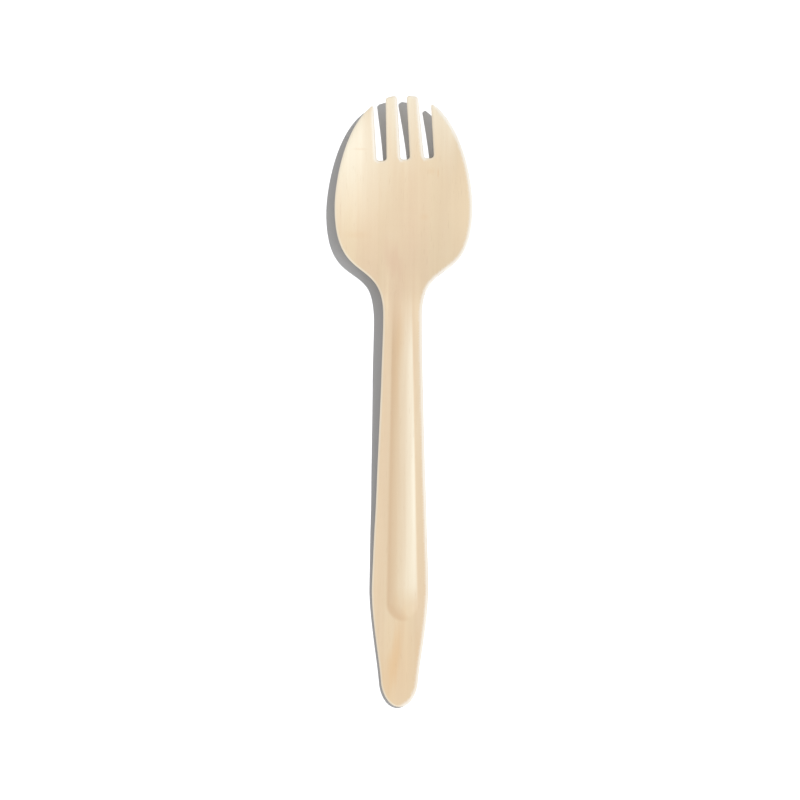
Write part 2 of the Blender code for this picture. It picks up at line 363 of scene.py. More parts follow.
@dataclass
class Press:
    """Form of the dies: the bowl, the handle's rise and its rib."""

    blank: Blank
    bowl_depth: float = 0.0050
    deepest_drop: float = 0.0320
    dish_foot: float = 0.0215
    flat_share: float = 0.2
    dish_blend: float = 0.25
    level_end: float = 0.0180
    rise_blend: float = 0.25
    rib_height: float = 0.0008
    rib_neck_width: float = 0.0053
    rib_grip_width: float = 0.0081
    rib_drift: float = 0.0006
    rib_start: float = 0.0232
    rib_full_drop: float = 0.0690
    rib_fade: float = 0.0290
    rib_foot_blend: float = 0.10

    def dish(self, across: np.ndarray, along: np.ndarray) -> np.ndarray:
        """Share of the bowl's depth: 1 on its flat bottom, 0 beyond its border.

        One less the square of the distance out of the flat middle, on half-ellipses, with a soft
        bend where it would turn negative.

        Args:
            across: Places across the spork.
            along: Places along it.

        Returns:
            One share for each place.
        """
        past = along - (self.blank.length - self.deepest_drop)
        reach = np.where(past > 0, self.deepest_drop, self.dish_foot)
        out = np.hypot(across / (self.blank.bowl_width / 2), past / reach)
        slope = np.maximum(0.0, out - self.flat_share) / (1 - self.flat_share)
        whole = soft_positive(np.array(1.0), self.dish_blend)
        return soft_positive(1 - slope * slope, self.dish_blend) / whole

    def rise(self, along: np.ndarray) -> np.ndarray:
        """Share of the handle's rise: a straight ramp that bends in and out as parabolas.

        Args:
            along: Places along the spork.

        Returns:
            One share for each place.
        """
        share = np.clip((along - self.level_end) / (self.blank.neck - self.level_end), 0.0, 1.0)
        bend = self.rise_blend
        rest = 1 - share
        start = share * share / (2 * bend * (1 - bend))
        finish = 1 - rest * rest / (2 * bend * (1 - bend))
        ramp = (share - bend / 2) / (1 - bend)
        return np.where(share < bend, start, np.where(rest < bend, finish, ramp))

    @property
    def rib_run(self) -> float:
        """Length of the handle from the grip to the neck."""
        return self.blank.neck - self.blank.grip_place

    def rib_reach(self, along: np.ndarray) -> np.ndarray:
        """The rib's half width narrows evenly from the grip to the neck."""
        share = (along - self.blank.grip_place) / self.rib_run
        return (self.rib_grip_width + (self.rib_neck_width - self.rib_grip_width) * share) / 2

    def rib_spine(self, along: np.ndarray) -> np.ndarray:
        """The rib is pressed a little askew: its spine meets the middle at the neck."""
        return self.rib_drift * (self.blank.neck - along) / self.rib_run

    def rib_out(self, across: np.ndarray, along: np.ndarray) -> np.ndarray:
        """How far out from the rib's spine, 1 at its foot, also round its end.

        Args:
            across: Places across the spork.
            along: Places along it.

        Returns:
            One distance for each place, in half widths of the rib.
        """
        centre = self.rib_start + self.rib_grip_width / 2
        past = np.maximum(0.0, centre - along)
        sideways = across - self.rib_spine(along)
        return np.hypot(sideways, past) / self.rib_reach(np.maximum(along, centre))

    def rib_strength(self, along: np.ndarray) -> np.ndarray:
        """The rib has its full height on the handle and eases out in the bowl."""
        return 1 - smooth_share((along - self.blank.length + self.rib_full_drop) / self.rib_fade)

    def lift(self, across: np.ndarray, along: np.ndarray) -> np.ndarray:
        """Height of the sheet's middle over its lowest place.

        The bowl's depth times what the rise has more than the dish, plus the rib's arch: one less
        the square of the distance from its spine, softened at its foot.

        Args:
            across: Places across the spork.
            along: Places along it.

        Returns:
            One height for each place.
        """
        out = self.rib_out(across, along)
        whole = soft_positive(np.array(1.0), self.rib_foot_blend)
        arch = soft_positive(1 - out * out, self.rib_foot_blend) / whole * self.rib_strength(along)
        pressed = self.bowl_depth * (self.rise(along) - self.dish(across, along))
        return pressed + self.rib_height * arch


@dataclass
class Relief:
    """Fine unevenness that the veneer keeps: long waves and raised fibres along it."""

    wave_height: float = 0.000022
    wave_across: float = 0.0065
    wave_along: float = 0.019
    fibre_height: float = 0.000005
    fibre_across: float = 0.0011
    fibre_along: float = 0.021

    def height(self, across: np.ndarray, along: np.ndarray, side: Side) -> np.ndarray:
        """Height of the relief, two noises that are stretched along the grain.

        Args:
            across: Places across the spork.
            along: Places along it.
            side: Which face of the sheet.

        Returns:
            One height for each place.
        """
        top = side is Side.TOP
        waves = Seed.WAVES_TOP if top else Seed.WAVES_UNDER
        fibres = Seed.FIBRES_TOP if top else Seed.FIBRES_UNDER
        wave = value_noise(across / self.wave_across, along / self.wave_along, waves)
        fibre = value_noise(across / self.fibre_across, along / self.fibre_along, fibres)
        return wave * self.wave_height + fibre * self.fibre_height


@dataclass
class Spork:
    """The pressed sheet with its rounded edge, as one closed mesh."""

    place: Vector
    blank: Blank = field(default_factory=Blank)
    relief: Relief = field(default_factory=Relief)
    sheet: float = 0.0018
    edge_round: float = 0.0006
    round_steps: int = 6
    wall_steps: int = 3
    face_step: float = 0.00042
    face_margin: float = 0.00025
    tip_margin: float = 1.5
    tip_reach: int = 6
    # Where the painted highlight rim along the right-facing edges is full and where it ends.
    rim_full: float = 0.00048
    rim_end: float = 0.00080
    rim_first_facing: float = -0.25
    rim_full_facing: float = 0.60
    under_rim: float = 0.25
    net_parts: int = 40

    def __post_init__(self) -> None:
        """Set up the dies for the blank."""
        self.press = Press(self.blank)

    def edge_profile(self) -> np.ndarray:
        """Section of the cut edge from the upper face to the lower one.

        A quarter circle, a straight wall and a quarter circle.

        Returns:
            Rows of how far in from the outline, height in the sheet, and share of the cut shown.
        """
        turn = np.linspace(0.0, math.pi / 2, self.round_steps + 1)
        inset = self.edge_round * (1 - np.sin(turn))
        height = self.sheet / 2 - self.edge_round * (1 - np.cos(turn))
        shown = smooth_share(turn / (math.pi / 2))
        wall = np.linspace(height[-1], -height[-1], self.wall_steps + 1)[1:-1]
        flat = np.zeros_like(wall)
        upper = np.stack([inset, height, shown], axis=1)
        lower = upper[::-1] * [1.0, -1.0, 1.0]
        return np.vstack([upper, np.stack([flat, wall, flat + 1], axis=1), lower])

    def rounding_share(self, normals: np.ndarray, outline: np.ndarray) -> np.ndarray:
        """Share of the edge's rounding that fits each place of the outline, less at a tight tip.

        The outline's radius is the way between two neighbours over the angle of their normals. The
        share is this radius, less a margin, over the edge's radius. It takes the least value near
        each place, and then the mean.

        Args:
            normals: Normals of the outline.
            outline: Points of the outline.

        Returns:
            One share for each point, at most 1.
        """
        before, after = np.roll(normals, 1, axis=0), np.roll(normals, -1, axis=0)
        crossed = before[:, 0] * after[:, 1] - before[:, 1] * after[:, 0]
        turn = np.arctan2(crossed, (before * after).sum(axis=1))
        way = np.linalg.norm(np.roll(outline, -1, axis=0) - np.roll(outline, 1, axis=0), axis=1)
        radius = np.where(turn > 0, way / np.maximum(turn, SMALLEST_TURN), math.inf)
        share = np.minimum(1.0, radius / (self.tip_margin * self.edge_round))
        near = range(-self.tip_reach, self.tip_reach + 1)
        least = np.min([np.roll(share, shift) for shift in near], axis=0)
        return np.mean([np.roll(least, shift) for shift in near], axis=0)

    def painted_right_rim(self, facing: np.ndarray, inset: np.ndarray) -> np.ndarray:
        """Share of the painted highlight rim along the edges that face to the right.

        Eased with the direction across that the edge faces, times one less the eased distance in.

        Args:
            facing: Part across of the outline's normal, from -1 at the left to 1 at the right.
            inset: How far in from the outline.

        Returns:
            One share for each place.
        """
        turned = (facing - self.rim_first_facing) / (self.rim_full_facing - self.rim_first_facing)
        fading = smooth_share((inset - self.rim_full) / (self.rim_end - self.rim_full))
        return smooth_share(turned) * (1 - fading)

    def face_places(self, border: np.ndarray) -> tuple[np.ndarray, np.ndarray, np.ndarray]:
        """Even net of places inside a border, each row set off by half a step.

        A place is inside if a line from it to the right crosses the border an odd number of times,
        and it keeps a margin from the border's points. The net is worked through in parts, to keep
        the tables of all distances small.

        Args:
            border: Points of the closed border of the flat faces.

        Returns:
            Points as rows of across and along, each one's nearest border point, and how far it is.
        """
        step = self.face_step
        low, high = border.min(axis=0), border.max(axis=0)
        columns = np.arange(low[0], high[0], step)
        rows = np.arange(low[1], high[1], step * math.sqrt(3) / 2)
        across, along = np.meshgrid(columns, rows)
        across = across + (np.arange(len(rows)) % 2 * step / 2)[:, None]
        net = np.stack([across.ravel(), along.ravel()], axis=1)
        following = np.roll(border, -1, axis=0)
        kept, nearest, distances = [], [], []
        way = following - border
        height = np.where(way[:, 1] == 0, 1.0, way[:, 1])
        for part in np.array_split(net, self.net_parts):
            x, y = part[:, :1], part[:, 1:]
            spans = (border[:, 1] > y) != (following[:, 1] > y)
            crossing = border[:, 0] + (y - border[:, 1]) * way[:, 0] / height
            inside = (spans & (x < crossing)).sum(axis=1) % 2 == 1
            apart = np.hypot(x - border[:, 0], y - border[:, 1])
            keep = inside & (apart.min(axis=1) > self.face_margin)
            kept.append(part[keep])
            nearest.append(apart[keep].argmin(axis=1))
            distances.append(apart[keep].min(axis=1))
        return np.vstack(kept), np.concatenate(nearest), np.concatenate(distances)

    def face_triangles(self, places: np.ndarray, border_count: int) -> np.ndarray:
        """Triangles between the places of a face, inside its border, counter-clockwise.

        Args:
            places: Points of the face, the border's points first.
            border_count: How many of them are the border's.

        Returns:
            Rows of three indices.
        """
        ring = np.arange(border_count)
        edges = np.stack([ring, np.roll(ring, -1)], axis=1)
        found, _, faces, *_ = geometry.delaunay_2d_cdt(
            (places * MILLIMETRES).tolist(), edges.tolist(), [], 1, SMALLEST_GAP
        )
        if len(found) != len(places):
            raise ValueError("The net of the face has places that fall together")
        triangles = np.array(faces)
        first, second, third = (places[triangles[:, corner]] for corner in range(3))
        one, two = second - first, third - first
        clockwise = one[:, 0] * two[:, 1] - one[:, 1] * two[:, 0] < 0
        triangles[clockwise] = triangles[clockwise][:, ::-1]
        return triangles

    def pressed(self, across: np.ndarray, along: np.ndarray, height: np.ndarray) -> np.ndarray:
        """Bring places of the flat sheet to their form.

        The height is the sheet's half thickness, the dies' lift, the place's height in the sheet,
        and the relief of the two faces, shared by how near each is. All is raised by the relief's
        full height, so that no place sinks into the floor.

        Args:
            across: Places across the spork.
            along: Places along it.
            height: Heights in the sheet, 0 in its middle.

        Returns:
            Points in the row's frame.
        """
        upper = height / self.sheet + 0.5
        uneven = upper * self.relief.height(across, along, Side.TOP)
        uneven += (1 - upper) * self.relief.height(across, along, Side.UNDER)
        lift = self.press.lift(across, along) + uneven
        floor = self.relief.wave_height + self.relief.fibre_height
        z = self.sheet / 2 + lift + height + floor
        return np.stack([across, along, z], axis=1) + np.array(self.place)

    def faces(self, triangles: np.ndarray, count: int, rows: int, net: int) -> list[np.ndarray]:
        """Faces of the edge and of the two flat sides.

        The points run round the edge row by row, and then come the net of the upper side and that
        of the lower one. Corners on the border are those of the edge's first or last row.

        Args:
            triangles: Triangles of one side, with the border's points first.
            count: How many points go round the outline.
            rows: How many rows the edge has.
            net: How many points each side's net has.

        Returns:
            The edge's faces, the upper side's and the lower side's.
        """
        row, ring = np.arange(rows - 1)[:, None] * count, np.arange(count)
        after = np.roll(ring, -1)
        edge = np.stack([row + ring, row + count + ring, row + count + after, row + after], axis=2)
        last_row = (rows - 1) * count
        on_border = triangles < count
        upper = triangles + np.where(on_border, 0, last_row)
        lower = triangles + np.where(on_border, last_row, last_row + net)
        return [edge.reshape(-1, 4), upper, lower[:, ::-1]]

    def build(self) -> bpy.types.Object:
        """The edge's profile carried along the outline, closed by the two faces.

        Returns:
            The object, with its places in the flat sheet and its shares of the cut and of the
            painted highlight rim as attributes.
        """
        outline = self.blank.outline()
        count = len(outline)
        profile = self.edge_profile()
        normals = outward(outline)
        share = self.rounding_share(normals, outline)[:, None]
        edge = outline[None] - (normals * share)[None] * profile[:, None, :1]
        net, nearest, distances = self.face_places(edge[0])
        triangles = self.face_triangles(np.vstack([edge[0], net]), count)

        places = np.vstack([edge.reshape(-1, 2), net, net])
        half = np.full(len(net), self.sheet / 2)
        heights = np.concatenate([np.repeat(profile[:, 1], count), half, -half])
        cut = np.concatenate([np.repeat(profile[:, 2], count), np.zeros(2 * len(net))])
        # Painted highlight rim on the right-facing edges, weaker underneath.
        edge_rim = self.painted_right_rim(normals[None, :, 0], profile[:, :1])
        edge_rim *= np.where(profile[:, 1:2] > 0, 1.0, self.under_rim)
        net_rim = self.painted_right_rim(normals[nearest, 0], distances + self.edge_round)
        painted_rim_share = np.concatenate([edge_rim.ravel(), net_rim, net_rim * self.under_rim])

        points = self.pressed(places[:, 0], places[:, 1], heights)
        faces = self.faces(triangles, count, len(profile), len(net))
        mesh = mesh_of("pressed veneer", points, faces)
        sheet_places = np.column_stack([places, heights])
        add_attribute(mesh, "sheet place", "FLOAT_VECTOR", "vector", sheet_places)
        add_attribute(mesh, "cut", "FLOAT", "value", cut)
        add_attribute(mesh, "painted highlight rim", "FLOAT", "value", painted_rim_share)
        piece = bpy.data.objects.new("pressed_spork", mesh)
        bpy.context.scene.collection.objects.link(piece)
        return piece

    def dress(self, piece: bpy.types.Object, finish: "Birch") -> None:
        """Give the piece its wood, and set it on the frame in place of the CAD solid.

        Args:
            piece: The spork's object.
            finish: The wood.
        """
        piece.data.materials.append(finish.material(self))
        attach(piece, CAD_BODY)
        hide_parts(CAD_NODE)


def mesh_of(name: str, points: np.ndarray, groups: Sequence[np.ndarray]) -> bpy.types.Mesh:
    """A smooth mesh from whole arrays of points and faces.

    Args:
        name: The mesh's name.
        points: Rows of three coordinates.
        groups: Arrays of faces, each with its own number of corners.

    Returns:
        The mesh.
    """
    mesh = bpy.data.meshes.new(name)
    sizes = np.concatenate([np.full(len(group), group.shape[1]) for group in groups])
    corners = np.concatenate([group.ravel() for group in groups])
    mesh.vertices.add(len(points))
    mesh.vertices.foreach_set("co", points.astype(np.float32).ravel())
    mesh.loops.add(len(corners))
    mesh.loops.foreach_set("vertex_index", corners.astype(np.int32))
    mesh.polygons.add(len(sizes))
    starts = np.append(0, np.cumsum(sizes)[:-1])
    mesh.polygons.foreach_set("loop_start", starts.astype(np.int32))
    mesh.update(calc_edges=True)
    mesh.validate()
    mesh.shade_smooth()
    return mesh


def add_attribute(mesh: bpy.types.Mesh, name: str, kind: str, key: str,
                  values: np.ndarray) -> None:
    """Keep one value or vector for each point of the mesh, in the data type's own field."""
    attribute = mesh.attributes.new(name, kind, "POINT")
    attribute.data.foreach_set(key, values.astype(np.float32).ravel())


@dataclass(frozen=True)
class Noise:
    """A noise: its waves in a metre on each axis, its finer layers, and how strong they are."""

    scale: tuple[float, float, float]
    detail: float
    rough: float = 0.5


@dataclass
class Bench:
    """A node tree at work, with short ways to add and join its nodes."""

    tree: bpy.types.NodeTree

    def add(self, kind: str, inputs: dict | None = None, **settings: object) -> bpy.types.Node:
        """Add a node.

        Args:
            kind: The node's type.
            inputs: Value or source socket for each input, by name or number.
            settings: The node's own settings.

        Returns:
            The node.
        """
        node = self.tree.nodes.new(kind)
        for name, value in settings.items():
            setattr(node, name, value)
        self.feed(node, inputs or {})
        return node

    def feed(self, node: bpy.types.Node, inputs: dict) -> None:
        """Set or join a node's inputs.

        Args:
            node: The node.
            inputs: Value or source socket for each input, by name or number.
        """
        for name, value in inputs.items():
            if isinstance(value, Socket):
                self.tree.links.new(value, node.inputs[name])
            else:
                node.inputs[name].default_value = value

    def math(self, operation: str, *values: object) -> Socket:
        """One step of arithmetic with numbers or source sockets."""
        return self.add("ShaderNodeMath", dict(enumerate(values)), operation=operation).outputs[0]

    def times(self, first: object, second: object) -> Socket:
        """Product of two numbers or source sockets."""
        return self.math("MULTIPLY", first, second)

    def vector(self, operation: str, *values: object) -> bpy.types.Node:
        """One step of arithmetic with vectors or source sockets."""
        return self.add("ShaderNodeVectorMath", dict(enumerate(values)), operation=operation)

    def joined(self, across: object, along: object = 0.0) -> Socket:
        """A place from its parts, which are numbers or source sockets."""
        return self.add("ShaderNodeCombineXYZ", {0: across, 1: along}).outputs[0]

    def parts(self, place: object) -> tuple[Socket, Socket]:
        """A place's parts across and along."""
        return tuple(self.add("ShaderNodeSeparateXYZ", {0: place}).outputs[:2])

    def ramp(self, value: object, low: float, high: float, start: float, end: float,
             way: str = "SMOOTHSTEP") -> Socket:
        """Carry a value from the span of low to high to that of start to end, held outside."""
        inputs = {
            "Value": value, "From Min": low, "From Max": high, "To Min": start, "To Max": end
        }
        return self.add("ShaderNodeMapRange", inputs, interpolation_type=way).outputs[0]

    def blend(self, share: object, under: object, over: object) -> Socket:
        """Lay a share of one colour over another."""
        inputs = {0: share, 6: under, 7: over}
        return self.add("ShaderNodeMix", inputs, data_type="RGBA").outputs[2]

    def moved(self, place: object, across: object, along: object = 0.0) -> Socket:
        """Move the places across and along, by numbers or source sockets."""
        return self.vector("ADD", place, self.joined(across, along)).outputs[0]

    def group(self, tree: bpy.types.NodeTree, inputs: dict) -> bpy.types.Node:
        """Place a shader group with a value or source socket for each input."""
        node = self.add("ShaderNodeGroup", node_tree=tree)
        self.feed(node, inputs)
        return node

    def noise(self, place: object, noise: Noise) -> Socket:
        """Noise from 0 to 1 at the places, stretched by its scale."""
        stretched = self.vector("MULTIPLY", place, noise.scale).outputs[0]
        inputs = {
            "Vector": stretched, "Scale": 1.0, "Detail": noise.detail, "Roughness": noise.rough
        }
        return self.add("ShaderNodeTexNoise", inputs, noise_dimensions="3D").outputs[0]

    def sway(self, place: object, noise: Noise, reach: float) -> Socket:
        """Noise at the places that sways both ways by half its reach."""
        return self.times(self.math("SUBTRACT", self.noise(place, noise), 0.5), reach)


def new_group(name: str, inputs: dict[str, str],
              outputs: dict[str, str]) -> tuple[Bench, bpy.types.Node, bpy.types.Node]:
    """An empty shader group with named sockets.

    Args:
        name: The group's name.
        inputs: Socket type for each input's name.
        outputs: Socket type for each output's name.

    Returns:
        The group's bench, and its input and output nodes.
    """
    tree = bpy.data.node_groups.new(name, "ShaderNodeTree")
    for label, kind in inputs.items():
        tree.interface.new_socket(label, in_out="INPUT", socket_type=kind)
    for label, kind in outputs.items():
        tree.interface.new_socket(label, in_out="OUTPUT", socket_type=kind)
    bench = Bench(tree)
    return bench, bench.add("NodeGroupInput"), bench.add("NodeGroupOutput")


def soft_spot_group() -> bpy.types.NodeTree:
    """Mask of an oval that fades out: one less the eased distance from its centre in reaches.

    The distance across is taken from a line through the centre that leans by the given share.

    Returns:
        The group.
    """
    kinds = {name: "NodeSocketVector" for name in ("Place", "Centre", "Reach")}
    kinds["Lean"] = "NodeSocketFloat"
    bench, given, result = new_group("soft spot", kinds, {"Mask": "NodeSocketFloat"})
    sockets = given.outputs
    offset = bench.vector("SUBTRACT", sockets["Place"], sockets["Centre"]).outputs[0]
    _, past = bench.parts(offset)
    leaning = bench.joined(bench.times(past, sockets["Lean"]))
    upright = bench.vector("SUBTRACT", offset, leaning).outputs[0]
    shares = bench.vector("DIVIDE", upright, sockets["Reach"]).outputs[0]
    out = bench.vector("LENGTH", shares).outputs["Value"]
    bench.tree.links.new(bench.ramp(out, 0.0, 1.0, 1.0, 0.0), result.inputs["Mask"])
    return bench.tree


@dataclass(frozen=True)
class Grain:
    """Noises of the wood, drawn long on the grain's axis, with the span of each that shows."""

    drift: Noise = Noise((60.0, 22.0, 60.0), 1.0)
    drift_reach: float = 0.0016
    streaks: Noise = Noise((420.0, 14.0, 500.0), 4.0, 0.6)
    streak_span: Span = (0.28, 0.72)
    flecks: Noise = Noise((3200.0, 330.0, 2600.0), 1.0)
    fleck_span: Span = (0.64, 0.78)
    figure: Noise = Noise((110.0, 640.0, 200.0), 2.0)
    figure_span: Span = (0.30, 0.70)
    hue: Noise = Noise((190.0, 7.0, 300.0), 2.0)
    hue_span: Span = (0.32, 0.68)
    layers: Noise = Noise((260.0, 60.0, 4200.0), 3.0, 0.6)
    layer_span: Span = (0.45, 0.65)
    fibres: Noise = Noise((6500.0, 230.0, 6500.0), 3.0, 0.6)

    def group(self) -> bpy.types.NodeTree:
        """Masks of the streaks and flecks along the grain, its figure, hue, layers and fibres.

        All are noises of the place in the sheet. All but the figure are bent a little sideways.

        Returns:
            The group.
        """
        names = ("Streaks", "Flecks", "Figure", "Hue", "Layers", "Fibres")
        outputs = {name: "NodeSocketFloat" for name in names}
        bench, given, result = new_group("birch grain", {"Place": "NodeSocketVector"}, outputs)
        place = given.outputs["Place"]
        bent = bench.moved(place, bench.sway(place, self.drift, self.drift_reach))
        streaks, flecks = bench.noise(bent, self.streaks), bench.noise(bent, self.flecks)
        figure, hue = bench.noise(place, self.figure), bench.noise(bent, self.hue)
        layers = bench.noise(bent, self.layers)
        joins = {
            "Streaks": bench.ramp(streaks, *self.streak_span, 0.0, 1.0, "LINEAR"),
            "Flecks": bench.ramp(flecks, *self.fleck_span, 0.0, 1.0),
            "Figure": bench.ramp(figure, *self.figure_span, 0.0, 1.0, "LINEAR"),
            "Hue": bench.ramp(hue, *self.hue_span, 0.0, 1.0, "LINEAR"),
            "Layers": bench.ramp(layers, *self.layer_span, 0.0, 1.0),
            "Fibres": bench.noise(bent, self.fibres),
        }
        for label, socket in joins.items():
            bench.tree.links.new(socket, result.inputs[label])
        return bench.tree


@dataclass(frozen=True)
class Spot:
    """A soft oval mark in the wood, placed on the flat sheet and leaning by a share."""

    across: float
    along: float
    reach_across: float
    reach_along: float
    strength: float
    lean: float = 0.0


@dataclass(frozen=True)
class Band:
    """A band of painted shade or painted highlight on one flank of the rib, counted in
    half widths out from its spine.

    It grows from its start to its peak and ends beyond, and wraps round the rib's end by a share.
    """

    flank: Flank
    start: float
    peak: float
    end: float
    wrap: float
    strength: float


@dataclass(frozen=True)
class Birch:
    """Pale birch veneer, rubbed smooth, with this sheet's marks and painted light and shade."""

    colour: Colour = (0.842, 0.673, 0.469, 1.0)
    streak_colour: Colour = (0.70, 0.52, 0.33, 1.0)
    fleck_colour: Colour = (0.56, 0.39, 0.23, 1.0)
    figure_colour: Colour = (0.86, 0.72, 0.52, 1.0)
    yellow_colour: Colour = (0.83, 0.70, 0.47, 1.0)
    # A rosy hue of the wood, also used for the painted shade at the neck.
    rosy_and_painted_shade_colour: Colour = (0.79, 0.585, 0.41, 1.0)
    warm_colour: Colour = (0.79, 0.52, 0.27, 1.0)
    # Painted highlight colour, for the sheen spots and the rib's right flank.
    painted_highlight_colour: Colour = (0.97, 0.90, 0.73, 1.0)
    # Painted shade colour for the rib's left flank.
    painted_shade_colour: Colour = (0.68, 0.46, 0.27, 1.0)
    # Painted light colour for the bowl and the right of the neck.
    painted_light_colour: Colour = (0.93, 0.76, 0.53, 1.0)
    # Paler rubbed edge, partly wood colour and partly painted highlight.
    rubbed_edge_and_highlight_colour: Colour = (0.94, 0.86, 0.70, 1.0)
    # Painted highlight colour of the right-facing edges.
    painted_highlight_rim_colour: Colour = (0.98, 0.95, 0.87, 1.0)
    wall_colour: Colour = (0.80, 0.66, 0.48, 1.0)
    layer_colour: Colour = (0.62, 0.45, 0.29, 1.0)
    grain: Grain = Grain()
    roughness: float = 0.34
    streak_roughness: float = 0.08
    cut_roughness: float = 0.10
    streak_share: float = 0.42
    bowl_streak_share: float = 0.26
    calm_run: float = 0.025
    fleck_share: float = 0.15
    figure_share: float = 0.14
    hue_share: float = 0.45
    rubbed_edge_and_highlight_share: float = 0.75
    edge_full: float = 0.18
    painted_highlight_rim_share: float = 0.92
    wall_share: float = 0.80
    wall_start: float = 0.90
    layer_share: float = 0.45
    fibre_bump: float = 0.000006
    stray_across: float = 0.0022
    stray_along: float = 0.0090
    across_noise: Noise = Noise((420.0, 75.0, 100.0), 3.0)
    along_noise: Noise = Noise((900.0, 60.0, 100.0), 2.0)

    # Painted shade on the rib's left flank and painted highlight on its right flank.
    painted_shade_band: Band = Band(Flank.LEFT, 0.22, 0.88, 1.13, 0.85, 0.64)
    painted_highlight_band: Band = Band(Flank.RIGHT, -0.45, 0.86, 1.02, 0.0, 1.0)
    end_reach: float = 0.92
    band_fade_share: float = 0.7
    bright_fade: Span = (-0.002, 0.006)

    warm_spots: tuple[Spot, ...] = (
        Spot(-0.0012, 0.0122, 0.0031, 0.0182, 0.74, 0.15),
        Spot(-0.0028, 0.0065, 0.0050, 0.0125, 0.46),
        Spot(0.0046, 0.0150, 0.0022, 0.0080, 0.28),
        Spot(0.0002, 0.0100, 0.0078, 0.0220, 0.34),
        Spot(-0.0013, 0.0268, 0.0022, 0.0040, 0.22),
        Spot(-0.0016, 0.0890, 0.0015, 0.0230, 0.34),
        Spot(-0.0006, 0.0960, 0.0021, 0.0130, 0.45),
    )
    fine_spots: tuple[Spot, ...] = (
        Spot(0.0054, 0.1284, 0.0020, 0.0014, 0.22),
        Spot(0.0090, 0.1399, 0.0004, 0.0020, 0.40),
        Spot(0.0072, 0.1404, 0.0018, 0.0014, 0.20),
        Spot(-0.0069, 0.1427, 0.0011, 0.0005, 0.30),
        Spot(-0.0114, 0.1459, 0.0030, 0.0005, 0.22),
        Spot(-0.0120, 0.1235, 0.0050, 0.0016, 0.16),
    )
    # Painted shade: the darker wedge where the rib fades into the bowl. The last spot is a rosy
    # tone near the tip of the right inner tine.
    painted_shade_and_rosy_spots: tuple[Spot, ...] = (
        Spot(-0.0010, 0.1060, 0.0034, 0.0160, 1.00),
        Spot(-0.0022, 0.1160, 0.0036, 0.0090, 1.00, -0.32),
        Spot(0.0030, 0.1560, 0.0030, 0.0120, 0.45),
    )
    # Painted highlights: the bowl's left wall, the tines and the handle's right margin.
    painted_highlight_spots: tuple[Spot, ...] = (
        Spot(-0.0170, 0.1490, 0.0200, 0.0300, 1.00),
        Spot(-0.0010, 0.1640, 0.0120, 0.0300, 1.00),
        Spot(0.0105, 0.1640, 0.0125, 0.0280, 0.90),
        Spot(0.0045, 0.0800, 0.0014, 0.0280, 0.22),
    )
    # Painted light: the bowl lighter, chiefly its right wall, and lit patches right of the neck.
    painted_light_spots: tuple[Spot, ...] = (
        Spot(0.0020, 0.1500, 0.0240, 0.0360, 0.60),
        Spot(-0.0130, 0.1380, 0.0150, 0.0270, 0.85),
        Spot(0.0160, 0.1310, 0.0070, 0.0260, 0.95),
        Spot(0.0036, 0.1050, 0.0024, 0.0160, 0.60),
        Spot(-0.0040, 0.1070, 0.0012, 0.0110, 0.80),
        Spot(0.0010, 0.1060, 0.0070, 0.0140, 0.45),
    )

    def strayed(self, bench: Bench, place: Socket) -> Socket:
        """The places moved a little by noises, so that the marks have uneven borders.

        Args:
            bench: The material's bench.
            place: Source socket of the places in the sheet.

        Returns:
            The moved places' socket.
        """
        across = bench.sway(place, self.across_noise, self.stray_across)
        along = bench.sway(place, self.along_noise, self.stray_along)
        return bench.moved(place, across, along)

    def spots(self, bench: Bench, place: Socket, group: bpy.types.NodeTree,
              marks: Sequence[Spot]) -> Socket:
        """Mask of several marks together, the strongest at each place.

        Args:
            bench: The material's bench.
            place: Source socket of the places in the sheet.
            group: The group of one soft spot.
            marks: The marks.

        Returns:
            The mask's socket.
        """
        mask: object = 0.0
        for mark in marks:
            inputs = {
                0: place,
                1: (mark.across, mark.along, 0.0),
                2: (mark.reach_across, mark.reach_along, 1.0),
                3: mark.lean,
            }
            spot = bench.group(group, inputs).outputs[0]
            mask = bench.math("MAXIMUM", mask, bench.times(spot, mark.strength))
        return mask

    def band(self, bench: Bench, across: Socket, along: Socket, band: Band) -> Socket:
        """Mask of a band that follows the rib and its round end.

        It grows with the place on the band's own side, past the round end also with the place
        along, and it ends by the distance from the spine.

        Args:
            bench: The material's bench.
            across: Source socket of the place across from the spine, in the rib's half widths.
            along: Source socket of the place past the centre of the round end, in half widths.
            band: The band.

        Returns:
            The mask's socket.
        """
        out = bench.vector("LENGTH", bench.joined(across, along)).outputs["Value"]
        wrapped = bench.times(along, band.wrap)
        facing = bench.math("MULTIPLY_ADD", across, float(band.flank.value), wrapped)
        rising = bench.ramp(facing, band.start, band.peak, 0.0, band.strength, "LINEAR")
        falling = bench.ramp(out, band.peak, band.end, 1.0, 0.0)
        return bench.times(rising, falling)

